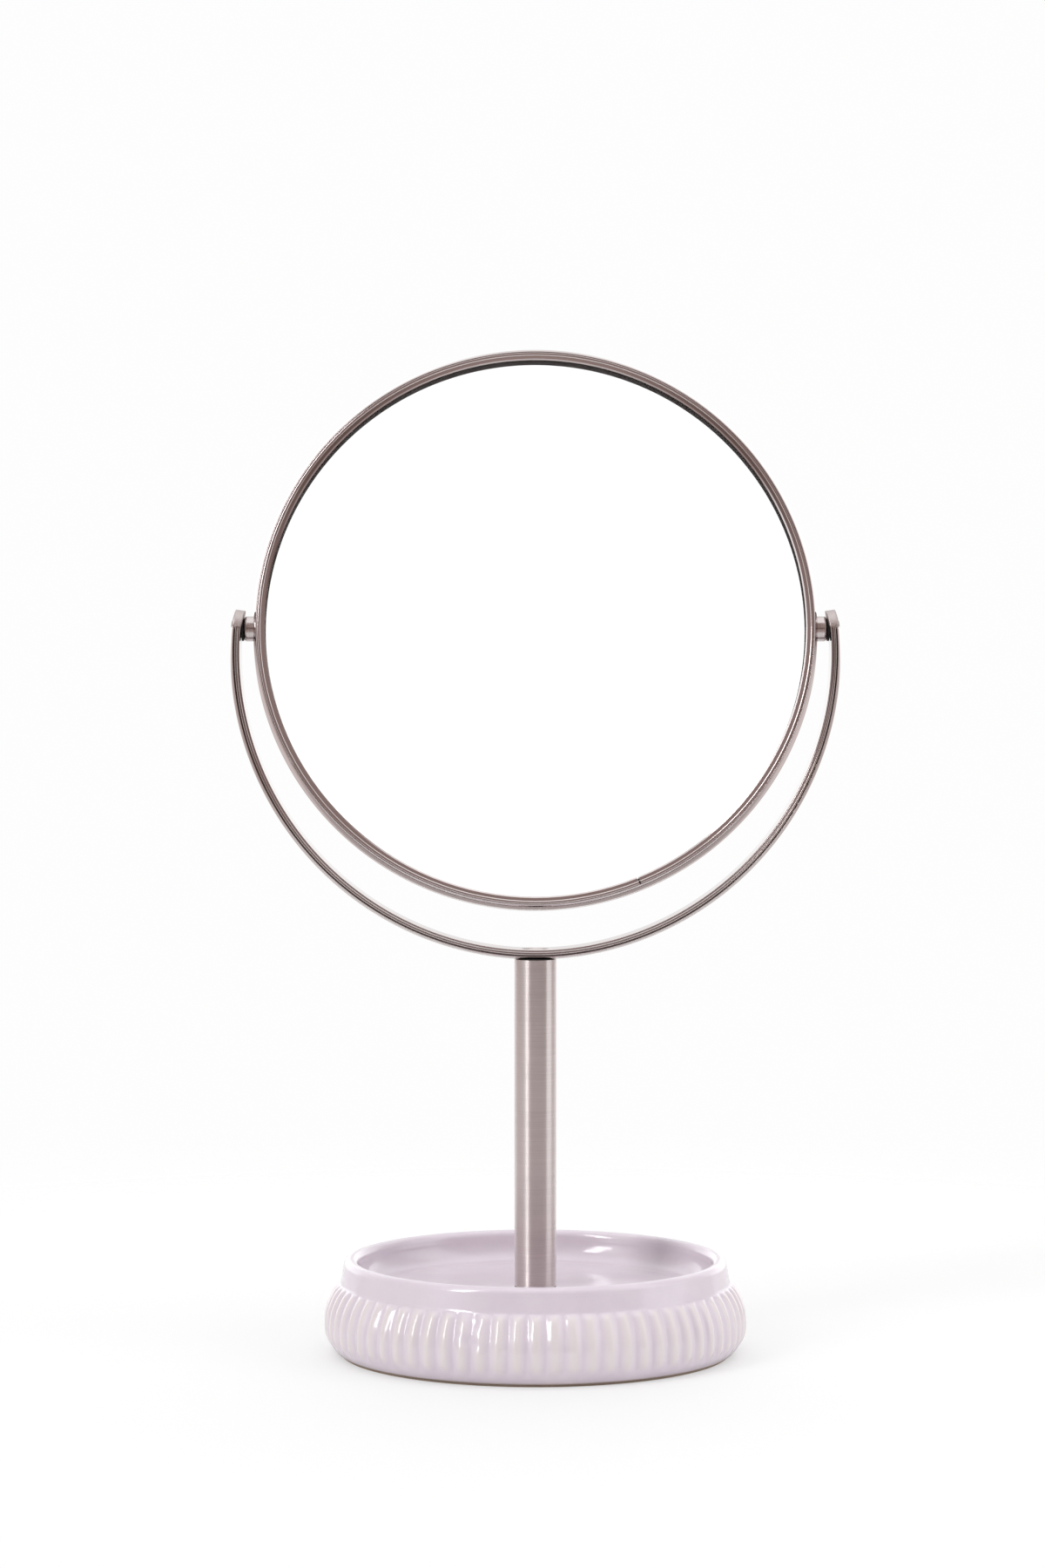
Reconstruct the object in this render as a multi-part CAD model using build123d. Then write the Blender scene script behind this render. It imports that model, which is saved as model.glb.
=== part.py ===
from build123d import *
import math
import os

# Two-sided vanity mirror. A ribbed ceramic tray carries a steel stem, the stem carries a U-shaped yoke,
# and the yoke holds the mirror head between two pivots.
# Millimetres, +Z up, the mirror's front towards -Y, and the origin under the middle of the base.

# Places of the main groups
pivot_height = 239.4  # tilt axis above the table
pivot_rise = 8.2  # tilt axis above the centre of the yoke's bend
rest_tilt = 8.0  # degrees that the mirror leans back at rest

# Clearances shared by every piece
fit_gap = 0.02  # around a piece fixed in a hole
running_gap = 0.05  # around a pin that turns
overrun = 2.0  # how far a cutter runs past what it cuts

# Tray base: a ceramic dish with upright ribs round its belly
base_radius = 70.0  # over the rib crests where the belly is widest
rim_height = 31.2  # rim above the table
collar_height = 8.2  # plain band from the rim down to the shoulder
equator_height = 10.2  # where the belly is widest
band_height = 2.6  # top of the plain band above the foot
shoulder_step = 5.5  # widest radius less the shoulder's
band_tuck = 2.7  # widest radius less that of the plain band's top
foot_tuck = 4.5  # widest radius less the foot's
foot_width = 6.5  # flat ring that the dish stands on
collar_taper = 1.0  # how far the collar leans in up to the rim
rim_wall = 3.8  # wall at the rim, rounded over its whole width
wall_draft = 1.4  # how far the inner wall leans in down to the floor
tray_depth = 10.2  # floor below the rim
floor_thickness = 5.5
floor_fillet = 8.0  # hollow corner round the tray floor
cavity_draft = 3.0  # how far the hollow under the floor widens upwards
cavity_fillet = 3.0
rib_count = 72
rib_height = 1.1  # crest above the valley
rib_width_share = 0.78  # of the pitch at the shoulder
rib_root = 0.7  # how deep a rib runs into the dish
rib_fade = 0.3  # how far the lower end of a rib dips under the surface
rib_tip_rise = 0.8  # crest outside the collar, level with the shoulder
rib_tip_drop = 2.2  # start of the rounding of a rib's upper end, below the shoulder
rib_tip_reach = 2.9  # the same, outside the shoulder
rib_tip_end = 0.6  # end of that rounding, below the shoulder
rib_tip_bulge = 0.55  # how full that rounding is

# Base pad and the bolt that holds the stem down
pad_thickness = 0.8
pad_inset = 1.0  # pad edge inside the foot's edge
bolt_radius = 3.0
bolt_clearance = 0.4  # around the bolt in the dish, the washers and the seal
bolt_head_height = 4.0
bolt_head_flats = 10.0
bolt_engagement = 14.0  # bolt inside the foot plug
base_washer_radius = 12.0
base_washer_thickness = 1.5
cushion_radius = 14.0
cushion_thickness = 1.5

# Stem
stem_radius = 6.9
stem_wall = 1.0
seal_thickness = 0.8
foot_plug_length = 18.0
top_plug_length = 16.0

# Mirror head
hoop_radius = 93.1  # over the crown of its outer side
hoop_depth = 12.5
hoop_crown = 0.7  # how far the outer side bulges between its edges
hoop_edge_wall = 0.9  # wall at the edges
hoop_edge_round_share = 0.7  # of the wall at the edges
bush_seat_depth = 0.7  # flat seat of a bush, below the crown
lip_recess = 1.9  # glass below the hoop's edge
mirror_thickness = 2.0
mirror_edge_gap = 0.2  # glass edge to the pivot nuts
mirror_centre_gap = 0.5  # between the two glasses where the dished one comes nearest
bezel_width = 2.6
bezel_bead_share = 0.44  # of the ring's width, beside the hoop
bezel_land_share = 0.38  # of the ring's width, between bead and bevel
bead_drop_share = 0.14  # of the recess, from the crest of the bead to its edges
land_drop_share = 0.26  # of the recess, where the land ends
bevel_drop_share = 0.4  # of the recess, where the bevel ends
bezel_split = 0.6  # open gap where the ends of the ring meet
bezel_split_angle = 68.0  # degrees below the level, to the right
spacer_inset = 5.0  # spacer inside the glass edge
spacer_width = 8.0

# Pivots
pin_radius = 1.75
pin_head_rise = 1.2  # depth of the pin's countersunk head, and its growth in radius
pin_end_gap = 0.3  # pin end short of the bush end
bush_wall = 1.1  # bush wall round the pin where it passes the hoop
bush_flange_step = 1.25  # barrel beyond that neck, in radius
bush_flange_length = 2.9  # barrel beyond the crown of the hoop
bush_seat_round = 0.4  # barrel's edge beside the hoop
bush_edge_round = 1.1  # barrel's edge beside the washer
nut_thickness = 1.4
nut_side_gap = 0.35  # nut to the bezels on both sides
washer_thickness = 0.7
washer_inset = 0.15  # friction washer inside the barrel's edge
end_play = 0.1  # friction washer to barrel

# Yoke
strap_thickness = 2.15
strap_width = 12.5
strap_edge_round = 0.95
groove_width = 0.4
groove_depth = 0.4
groove_offset = 1.05  # outer face to the groove
eyelet_boss = 1.25  # round pad on the inner side of the eyelet
boss_inset = 0.4  # pad edge inside the eyelet's edge
saddle_thickness = 0.35
saddle_inset = 0.4  # saddle edge inside the stem
screw_radius = 2.0
screw_seat = 0.4  # strap left under the countersunk head
screw_length = 14.0
screw_slot_width = 0.9
screw_slot_depth = 1.0

# Radii and levels of the tray base
band_radius = base_radius - band_tuck
shoulder_radius = base_radius - shoulder_step
shoulder_height = rim_height - collar_height
collar_radius = shoulder_radius - collar_taper
foot_radius = base_radius - foot_tuck
tray_floor = rim_height - tray_depth
cavity_ceiling = tray_floor - floor_thickness
bolt_hole_radius = bolt_radius + bolt_clearance
rib_width = rib_width_share * math.tau * shoulder_radius / rib_count

# Levels of the bolt stack, downwards from the dish, and of the stem, upwards
cushion_bottom = cavity_ceiling - cushion_thickness
washer_bottom = cushion_bottom - base_washer_thickness
bolt_head_bottom = washer_bottom - bolt_head_height
stem_bottom = tray_floor + seal_thickness
plug_radius = stem_radius - stem_wall - fit_gap

# Radii and depths inside the mirror head, where depth is counted from the middle of the hoop
hoop_edge_radius = hoop_radius - hoop_crown
hoop_bore = hoop_edge_radius - hoop_edge_wall
glass_level = hoop_depth / 2 - lip_recess
glass_back = glass_level - mirror_thickness
dish_sag = 2 * glass_back - mirror_centre_gap
nut_flats = 2 * (glass_level - nut_side_gap)
nut_corner = nut_flats / math.sqrt(3)
nut_face = math.sqrt(hoop_bore**2 - nut_corner**2) - fit_gap
nut_end = nut_face - nut_thickness
mirror_radius = nut_end - mirror_edge_gap
bezel_radius = hoop_bore - fit_gap
bezel_bore = bezel_radius - bezel_width
dish_radius = (mirror_radius**2 + dish_sag**2) / (2 * dish_sag)

# Stack of a pivot, outwards from the hoop, and the bend of the yoke that it gives
bush_bore = pin_radius + running_gap
neck_radius = bush_bore + bush_wall
barrel_radius = neck_radius + bush_flange_step
barrel_start = hoop_radius - bush_seat_depth + fit_gap
barrel_end = hoop_radius + bush_flange_length
eyelet_inner = barrel_end + end_play + washer_thickness
eyelet_outer = eyelet_inner + eyelet_boss + strap_thickness
eyelet_radius = strap_width / 2
yoke_radius = math.hypot(eyelet_outer, pivot_rise)
yoke_bore = yoke_radius - strap_thickness
yoke_centre = pivot_height - pivot_rise
yoke_bottom = yoke_centre - yoke_radius
stem_top = yoke_bottom - saddle_thickness


def cylinder_up(radius, bottom, top):
    """Upright cylinder about Z between two levels."""
    return Pos(0, 0, bottom) * extrude(Circle(radius), top - bottom)


def ring_up(radius, bore, bottom, top):
    """Upright ring about Z between two levels."""
    return Pos(0, 0, bottom) * extrude(Circle(radius) - Circle(bore), top - bottom)


def cylinder_out(radius, start, end):
    """Cylinder about X between two distances from the middle."""
    return Plane.YZ.offset(start) * extrude(Circle(radius), end - start)


def drum(radius):
    """Cylinder about Y, wider than the strap, for trimming pieces to the bend of the yoke."""
    length = strap_width + stem_radius + overrun
    return Rot(90, 0, 0) * Cylinder(radius, 2 * length)


def belly_bend(drop, rise):
    """Radius and turn of the arc that leaves the widest point upright and falls back by drop over rise."""
    radius = (drop**2 + rise**2) / (2 * drop)
    return radius, math.atan2(rise, radius - drop)


def belly_middle(widest, drop, rise):
    """Point halfway along such an arc, as radius and height."""
    radius, turn = belly_bend(drop, rise)
    across = widest - radius + radius * math.cos(turn / 2)
    return across, equator_height + radius * math.sin(turn / 2)


def tray_outline():
    """Half section of the dish at the bottom of the valleys, as radius and height."""
    valley = base_radius - rib_height
    up = shoulder_height - equator_height
    down = band_height - equator_height
    lip_level = rim_height - rim_wall / 2
    inner_radius = collar_radius - rim_wall
    foot = (foot_radius, pad_thickness)
    band = (band_radius, band_height)
    widest = (valley, equator_height)
    shoulder = (shoulder_radius, shoulder_height)
    lip_outside = (collar_radius, lip_level)
    lip_inside = (inner_radius, lip_level)
    lip_top = (collar_radius - rim_wall / 2, rim_height)
    floor_corner = (inner_radius - wall_draft, tray_floor)
    foot_inside = (foot_radius - foot_width, pad_thickness)
    cavity_corner = (foot_radius - foot_width + cavity_draft, cavity_ceiling)
    outline = Curve() + [
        Line(foot, band),
        ThreePointArc(band, belly_middle(valley, valley - band_radius, down), widest),
        ThreePointArc(widest, belly_middle(valley, valley - shoulder_radius, up), shoulder),
        Line(shoulder, lip_outside),
        ThreePointArc(lip_outside, lip_top, lip_inside),
        Polyline(lip_inside, floor_corner, (bolt_hole_radius, tray_floor)),
        Polyline((bolt_hole_radius, tray_floor), (bolt_hole_radius, cavity_ceiling), cavity_corner),
        Polyline(cavity_corner, foot_inside, foot),
    ]
    section = make_face(outline)
    section = fillet(section.vertices().sort_by_distance(floor_corner)[0], floor_fillet)
    return fillet(section.vertices().sort_by_distance(cavity_corner)[0], cavity_fillet)


def tip_cutter():
    """Ring outside the upper ends of the ribs, hollowed so that it rounds them off."""
    start = Vector(shoulder_radius + rib_tip_reach, shoulder_height - rib_tip_drop)
    end = Vector(shoulder_radius - rib_root, shoulder_height - rib_tip_end)
    along = (end - start).normalized()
    middle = (start + end) / 2 + rib_tip_bulge * Vector(along.Y, -along.X)
    top = shoulder_height + overrun
    outside = base_radius + overrun
    rounding = ThreePointArc(start, middle, end)
    rest = Polyline(rounding @ 1, (end.X, top), (outside, top), (outside, start.Y), rounding @ 0)
    return revolve(Plane.XZ * make_face(Curve() + [rounding, rest]), Axis.Z)


def tray_rib():
    """One upright rib: its cap is bent down to the foot band, and up to a rounded tip under the shoulder."""
    root = base_radius - rib_height - rib_root
    edge = base_radius - rib_height
    half = rib_width / 2
    cap = make_face(
        Curve()
        + [
            ThreePointArc((edge, -half), (base_radius, 0), (edge, half)),
            Polyline((edge, half), (root, half), (root, -half), (edge, -half)),
        ]
    )
    cap = Pos(0, 0, equator_height) * cap
    up_radius, up_turn = belly_bend(shoulder_step - rib_tip_rise, shoulder_height - equator_height)
    down_radius, down_turn = belly_bend(band_tuck + rib_fade, equator_height - band_height)
    up_axis = Axis((base_radius - up_radius, 0, equator_height), (0, -1, 0))
    down_axis = Axis((base_radius - down_radius, 0, equator_height), (0, 1, 0))
    upper = revolve(cap, up_axis, math.degrees(up_turn)) - tip_cutter()
    return upper + revolve(cap, down_axis, math.degrees(down_turn))


def tray_base():
    dish = revolve(Plane.XZ * tray_outline(), Axis.Z)
    rib = tray_rib()
    return dish + [place * rib for place in PolarLocations(0, rib_count)]


def base_bolt():
    head = extrude(RegularPolygon(bolt_head_flats / 2, 6, major_radius=False), bolt_head_height)
    shank = cylinder_up(bolt_radius, washer_bottom, stem_bottom + bolt_engagement)
    return Pos(0, 0, bolt_head_bottom) * head + shank


def yoke_saddle():
    """Packing with a flat underside and a top hollowed to the bend of the yoke."""
    blank = ring_up(stem_radius - saddle_inset, screw_radius + fit_gap, stem_top, yoke_centre)
    lower = cylinder_up(stem_radius, stem_top, yoke_bottom + saddle_thickness)
    return (blank & lower) - Pos(0, 0, yoke_centre) * drum(yoke_radius)


def screw_blank(gap):
    """Countersunk screw of the yoke, pointing down, with its head running on upwards."""
    seat = yoke_bottom + screw_seat
    radius = screw_radius + gap
    head_rise = strap_thickness - screw_seat + overrun
    head = Pos(0, 0, seat + head_rise / 2) * Cone(radius, radius + head_rise, head_rise)
    return cylinder_up(radius, stem_top - screw_length, seat) + head


def yoke_screw():
    """The screw cut flush with the inside of the yoke, with a cross slot."""
    flush = Pos(0, 0, yoke_centre) * drum(yoke_bore)
    slot_level = yoke_bottom + strap_thickness
    slot = Box(2 * screw_radius, screw_slot_width, 2 * screw_slot_depth)
    cross = Pos(0, 0, slot_level) * (slot + Rot(0, 0, 90) * slot)
    return screw_blank(0) - flush - cross


def pin_blank(gap):
    """Pivot pin along +X, above the centre of the yoke's bend, with its head running on outwards."""
    seat = eyelet_outer - pin_head_rise
    radius = pin_radius + gap
    head_rise = pin_head_rise + overrun
    head = Cone(radius, radius + head_rise, head_rise)
    head = Pos(seat + head_rise / 2, 0, 0) * Rot(0, 90, 0) * head
    return Pos(0, 0, pivot_rise) * (cylinder_out(radius, nut_end + pin_end_gap, seat) + head)


def strap_section():
    """Section of the strap with a groove along both edges, as radius and depth."""
    strap = Rectangle(strap_thickness, strap_width)
    strap = fillet(strap.vertices().group_by(Axis.X)[-1], strap_edge_round)
    groove_place = (strap_thickness - groove_width) / 2 - groove_offset
    for side in (-1, 1):
        groove = Rectangle(groove_width, 2 * groove_depth)
        strap -= Pos(groove_place, side * strap_width / 2) * groove
    return Pos(yoke_radius - strap_thickness / 2, 0) * strap


def yoke():
    """Strap bent round under the mirror, with round eyelets at the tilt axis."""
    reach = pivot_rise + eyelet_radius + overrun
    past_level = math.degrees(math.asin(reach / yoke_bore))
    strap = revolve(Rot(0, -past_level, 0) * strap_section(), Axis.Y, 180 + 2 * past_level)
    below = Box(4 * yoke_radius, 2 * strap_width, 2 * yoke_radius)
    below = Pos(0, 0, pivot_rise - yoke_radius) * below
    round_end = Pos(0, 0, pivot_rise) * cylinder_out(eyelet_radius, -2 * yoke_radius, 2 * yoke_radius)
    bent = strap & (below + round_end)
    boss = cylinder_out(eyelet_radius - boss_inset, eyelet_inner, eyelet_outer - strap_thickness / 2)
    boss = Pos(0, 0, pivot_rise) * boss
    pin_hole = pin_blank(fit_gap)
    for turn in (0, 180):
        bent = bent + Rot(0, 0, turn) * boss - Rot(0, 0, turn) * pin_hole
    return Pos(0, 0, yoke_centre) * bent - screw_blank(fit_gap)


def pivot_pin():
    """Pin cut flush with the outside of the yoke."""
    return Pos(0, 0, yoke_centre) * (pin_blank(0) & drum(yoke_radius))


def friction_washer():
    ring = cylinder_out(barrel_radius - washer_inset, eyelet_inner - washer_thickness, eyelet_inner)
    hole = cylinder_out(bush_bore, eyelet_inner - washer_thickness, eyelet_inner)
    return Pos(0, 0, pivot_height) * (ring - hole)


def hoop():
    """Band round the mirror with a crowned outer side, seated and bored for a bush at each side."""
    edge = hoop_depth / 2
    crown = ThreePointArc((hoop_edge_radius, -edge), (hoop_radius, 0), (hoop_edge_radius, edge))
    sides = Polyline(crown @ 1, (hoop_bore, edge), (hoop_bore, -edge), crown @ 0)
    section = make_face(Curve() + [crown, sides])
    section = fillet(section.vertices().group_by(Axis.X)[-1], hoop_edge_round_share * hoop_edge_wall)
    band = revolve(section, Axis.Y)
    seat = cylinder_out(barrel_radius + running_gap, barrel_start - fit_gap, hoop_radius + overrun)
    for turn in (0, 180):
        band = band - Rot(0, 0, turn) * seat
    return band - cylinder_out(neck_radius + fit_gap, -hoop_radius - overrun, hoop_radius + overrun)


def bezel_section():
    """Section of a retaining ring: a bead beside the hoop, a land, then a bevel down towards the glass."""
    crest = hoop_depth / 2
    land_start = bezel_radius - bezel_bead_share * bezel_width
    land_end = land_start - bezel_land_share * bezel_width
    bead_level = crest - bead_drop_share * lip_recess
    land_level = crest - land_drop_share * lip_recess
    bevel_level = crest - bevel_drop_share * lip_recess
    bead_top = ((bezel_radius + land_start) / 2, -crest)
    bead = ThreePointArc((bezel_radius, -bead_level), bead_top, (land_start, -bead_level))
    slope = Polyline(bead @ 1, (land_end, -land_level), (bezel_bore, -bevel_level))
    seat = Polyline(slope @ 1, (bezel_bore, -glass_level), (bezel_radius, -glass_level), bead @ 0)
    return make_face(Curve() + [bead, slope, seat])


def bezel(side):
    """Retaining ring on one side of the head, split once."""
    ring = revolve(bezel_section(), Axis.Y)
    split = Box(2 * bezel_width, hoop_depth, bezel_split)
    split = Pos(bezel_radius - bezel_width / 2, -hoop_depth / 2, 0) * split
    ring = ring - Rot(0, bezel_split_angle, 0) * split
    return ring if side == "front" else Rot(180, 0, 0) * ring


def front_mirror():
    glass = Rot(90, 0, 0) * Cylinder(mirror_radius, mirror_thickness)
    return Pos(0, -(glass_level + glass_back) / 2, 0) * glass


def dish_level(radius):
    """Depth of the magnifying glass's hidden face at a radius, positive towards the rear."""
    middle = glass_back - dish_sag
    return middle + dish_radius - math.sqrt(dish_radius**2 - radius**2)


def dish_arc(start, end, shift):
    """Arc along the magnifying glass between two radii, moved back by a thickness."""
    middle = (start + end) / 2
    points = [(radius, dish_level(radius) + shift) for radius in (start, middle, end)]
    return ThreePointArc(*points)


def rear_mirror():
    """Dished glass, hollow on the rear."""
    hidden = dish_arc(0, mirror_radius, 0)
    shown = dish_arc(0, mirror_radius, mirror_thickness)
    section = make_face(Curve() + [hidden, shown, Line(hidden @ 0, shown @ 0), Line(hidden @ 1, shown @ 1)])
    return revolve(section, Axis.Y)


def spacer_ring():
    """Foam ring between the two glasses, shaped to the back of the dished one."""
    outer = mirror_radius - spacer_inset
    inner = outer - spacer_width
    back = dish_arc(inner, outer, 0)
    sides = Polyline(back @ 0, (inner, -glass_back), (outer, -glass_back), back @ 1)
    return revolve(make_face(Curve() + [back, sides]), Axis.Y)


def pivot_bush():
    """Barrel outside the hoop with a neck through it, bored for the pin."""
    barrel = cylinder_out(barrel_radius, barrel_start, barrel_end)
    barrel = fillet(barrel.edges().group_by(Axis.X)[0], bush_seat_round)
    barrel = fillet(barrel.edges().group_by(Axis.X)[-1], bush_edge_round)
    neck = cylinder_out(neck_radius, nut_end, barrel_end - bush_edge_round)
    return barrel + neck - cylinder_out(bush_bore, nut_end, barrel_end)


def pivot_nut():
    hexagon = RegularPolygon(nut_flats / 2, 6, major_radius=False, rotation=30)
    flat = Plane.YZ.offset(nut_end) * (hexagon - Circle(neck_radius + fit_gap))
    return extrude(flat, nut_thickness)


def on_both_sides(name, piece):
    """The same piece at the right and at the left, half a turn about the upright axis apart."""
    return {f"{name}_right": piece, f"{name}_left": Rot(0, 0, 180) * piece}


stand = {
    "tray_base": tray_base(),
    "base_pad": cylinder_up(foot_radius - pad_inset, 0, pad_thickness),
    "cushion_washer": ring_up(cushion_radius, bolt_hole_radius, cushion_bottom, cavity_ceiling),
    "base_washer": ring_up(base_washer_radius, bolt_hole_radius, washer_bottom, cushion_bottom),
    "base_bolt": base_bolt(),
    "stem_seal": ring_up(stem_radius, bolt_hole_radius, tray_floor, stem_bottom),
    "stem_foot_plug": ring_up(
        plug_radius, bolt_radius + fit_gap, stem_bottom, stem_bottom + foot_plug_length
    ),
    "stem_tube": ring_up(stem_radius, stem_radius - stem_wall, stem_bottom, stem_top),
    "stem_top_plug": ring_up(plug_radius, screw_radius + fit_gap, stem_top - top_plug_length, stem_top),
    "yoke_saddle": yoke_saddle(),
    "yoke": yoke(),
    "yoke_screw": yoke_screw(),
    **on_both_sides("pivot_pin", pivot_pin()),
    **on_both_sides("friction_washer", friction_washer()),
}

head = {
    "hoop": hoop(),
    "front_bezel": bezel("front"),
    "rear_bezel": bezel("rear"),
    "front_mirror": front_mirror(),
    "rear_mirror": rear_mirror(),
    "spacer_ring": spacer_ring(),
    **on_both_sides("pivot_bush", pivot_bush()),
    **on_both_sides("pivot_nut", pivot_nut()),
}
head_place = Pos(0, 0, pivot_height) * Rot(-rest_tilt, 0, 0)

os.makedirs("parts", exist_ok=True)
for name, piece in stand.items():
    export_step(piece, f"parts/{name}.step")
for name, piece in head.items():
    export_step(head_place * piece, f"parts/{name}.step")
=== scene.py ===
import math

import bmesh
import bpy
import numpy as np
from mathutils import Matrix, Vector


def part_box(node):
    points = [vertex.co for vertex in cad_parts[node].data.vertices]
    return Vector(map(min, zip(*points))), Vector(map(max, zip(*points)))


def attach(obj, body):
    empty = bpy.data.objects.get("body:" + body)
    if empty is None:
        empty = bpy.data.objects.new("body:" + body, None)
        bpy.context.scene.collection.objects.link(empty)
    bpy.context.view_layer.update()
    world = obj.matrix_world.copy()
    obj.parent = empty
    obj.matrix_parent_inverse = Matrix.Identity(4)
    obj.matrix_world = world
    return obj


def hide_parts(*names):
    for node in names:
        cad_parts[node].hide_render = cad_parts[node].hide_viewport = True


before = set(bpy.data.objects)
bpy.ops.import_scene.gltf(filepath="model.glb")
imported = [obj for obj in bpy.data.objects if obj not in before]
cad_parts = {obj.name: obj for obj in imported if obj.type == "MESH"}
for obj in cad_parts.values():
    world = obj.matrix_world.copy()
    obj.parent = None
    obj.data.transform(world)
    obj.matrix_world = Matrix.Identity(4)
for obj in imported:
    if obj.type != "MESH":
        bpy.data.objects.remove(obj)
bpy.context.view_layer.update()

# The tray base: a slip-cast ceramic dish, ribbed outside and glazed lilac.
# It is turned here as one smooth skin, because the glaze runs soft over every edge of the solid's ribs.
# It stands on the pad and carries the stem.
MM = 0.001
RIB_COUNT = 72
STEPS_PER_RIB = 16
FOOT, BAND, EQUATOR, SHOULDER, LIP = 0.8, 2.6, 10.2, 23.0, 28.8  # levels up the outside of the dish
FOOT_RADIUS, BAND_RADIUS, VALLEY_RADIUS, SHOULDER_RADIUS, LIP_RADIUS = 65.5, 67.3, 68.9, 64.5, 63.5
RIB_HEIGHT = 1.07
RIB_FULLNESS = 0.75  # below 1 the crests are broader than the valleys
RIB_START, RIB_FULL = BAND - 0.2, EQUATOR - 3.4  # levels between which the ribs rise out of the band
RIB_TIP, RIB_TIP_LENGTH = 21.0, 2.0  # rounded upper ends
UNEVEN = 0.06  # share by which the glaze evens out some ribs
SMEAR_ANGLE, SMEAR_WIDTH = -0.30, 0.085  # spot left of the front where the glaze has run over the ribs
SMEAR_WOBBLE = 0.16
FOOT_ROUND = 0.35
SOFT_CORNER = 0.9  # how far the glaze rounds the corners of the outside
LIP_ROUND, LIP_STEP, INNER_ROUND = 2.4, 0.2, 7.0
FLOOR_RADIUS = LIP_RADIUS - 2 * LIP_ROUND - LIP_STEP - INNER_ROUND  # flat part of the tray floor
TRAY_FLOOR, CAVITY_CEILING, BOLT_HOLE = 21.0, 15.5, 3.4
CAVITY_RADIUS, CAVITY_ROUND = 59.0, 3.0  # hollow under the floor
CAVITY_WIDEST, CAVITY_WIDEST_LEVEL = 61.6, 12.0
FOOT_ROWS, CORNER_ROWS, OUTER_ROWS = 5, 4, 120


def new_piece(name, points, faces, body, replaced=(), attributes=None):
    """Smooth mesh piece in metres that rides on a CAD body."""
    mesh = bpy.data.meshes.new(name)
    mesh.from_pydata([tuple(p) for p in points], [], [tuple(f) for f in faces])
    for label, values in (attributes or {}).items():
        mesh.attributes.new(label, "FLOAT", "POINT").data.foreach_set("value", values)
    shell = bmesh.new()
    shell.from_mesh(mesh)
    bmesh.ops.recalc_face_normals(shell, faces=shell.faces)
    shell.to_mesh(mesh)
    shell.free()
    mesh.polygons.foreach_set("use_smooth", [True] * len(mesh.polygons))
    mesh.update()
    piece = bpy.data.objects.new(name, mesh)
    bpy.context.scene.collection.objects.link(piece)
    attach(piece, body)
    if replaced:
        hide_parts(*replaced)
    return piece


def ring_faces(rows, columns, tube=False):
    """Quads of a grid that closes on itself along its columns, and for a tube along its rows too."""
    row, column = np.meshgrid(np.arange(rows if tube else rows - 1), np.arange(columns), indexing="ij")
    beside, below = (column + 1) % columns, (row + 1) % rows
    corners = [row * columns + column, row * columns + beside, below * columns + beside, below * columns + column]
    return np.stack(corners, axis=-1).reshape(-1, 4).tolist()


def smooth(low, high, value):
    """0 below low, 1 above high, with soft ends."""
    t = np.clip((value - low) / (high - low), 0, 1)
    return t * t * (3 - 2 * t)


def arc(centre, radius, start, end, count):
    """Points along a round corner of a profile, angles in degrees."""
    turn = np.radians(np.linspace(start, end, count))
    return np.stack([centre[0] + radius * np.cos(turn), centre[1] + radius * np.sin(turn)], axis=-1)


def path(count, *corners):
    """Points spread evenly between corners, without the last corner."""
    legs = zip(corners[:-1], corners[1:])
    return np.concatenate([np.linspace(start, end, count, endpoint=False) for start, end in legs])


def belly(widest, drop, span, away):
    """Radius of a belly that has fallen back by drop at span from its widest level."""
    bend = (drop**2 + span**2) / (2 * drop)
    return widest - bend + np.sqrt(bend**2 - np.clip(away, 0, span) ** 2)


def valley_at(level):
    """Radius of the outside at the bottom of the valleys, with the glaze's soft corners left out."""
    below = belly(VALLEY_RADIUS, VALLEY_RADIUS - BAND_RADIUS, EQUATOR - BAND, EQUATOR - level)
    above = belly(VALLEY_RADIUS, VALLEY_RADIUS - SHOULDER_RADIUS, SHOULDER - EQUATOR, level - EQUATOR)
    foot = np.interp(level, [FOOT, BAND], [FOOT_RADIUS, BAND_RADIUS])
    collar = np.interp(level, [SHOULDER, LIP], [SHOULDER_RADIUS, LIP_RADIUS])
    return np.select([level < BAND, level < EQUATOR, level < SHOULDER], [foot, below, above], collar)


outer_level = np.linspace(FOOT + FOOT_ROUND, LIP, OUTER_ROWS, endpoint=False)
nearby = np.linspace(-SOFT_CORNER, SOFT_CORNER, 19)
outer_radius = np.mean([valley_at(np.clip(outer_level + away, FOOT, LIP)) for away in nearby], axis=0)
outside_rows = np.stack([outer_radius, outer_level], axis=-1)
profile = np.concatenate([
    path(FOOT_ROWS, (CAVITY_RADIUS, FOOT), (FOOT_RADIUS - FOOT_ROUND, FOOT)),
    arc((FOOT_RADIUS - FOOT_ROUND, FOOT + FOOT_ROUND), FOOT_ROUND, -90, -30, CORNER_ROWS),
    outside_rows,
    arc((LIP_RADIUS - LIP_ROUND, LIP), LIP_ROUND, 0, 180, 24),
    arc((FLOOR_RADIUS, TRAY_FLOOR + INNER_ROUND), INNER_ROUND, 0, -90, 30)[:-1],
    path(10, (FLOOR_RADIUS, TRAY_FLOOR), (BOLT_HOLE, TRAY_FLOOR), (BOLT_HOLE, CAVITY_CEILING),
         (CAVITY_RADIUS, CAVITY_CEILING)),
    arc((CAVITY_RADIUS, CAVITY_CEILING - CAVITY_ROUND), CAVITY_ROUND, 90, 12, 8),
    path(6, (CAVITY_WIDEST, CAVITY_WIDEST_LEVEL), (CAVITY_RADIUS, FOOT)),
])
columns = RIB_COUNT * STEPS_PER_RIB
angle = np.linspace(0, 2 * math.pi, columns, endpoint=False)
level = profile[:, 1][:, None]
row = np.arange(len(profile))
ribbed = ((row >= FOOT_ROWS) & (row < FOOT_ROWS + CORNER_ROWS + OUTER_ROWS))[:, None]
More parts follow.
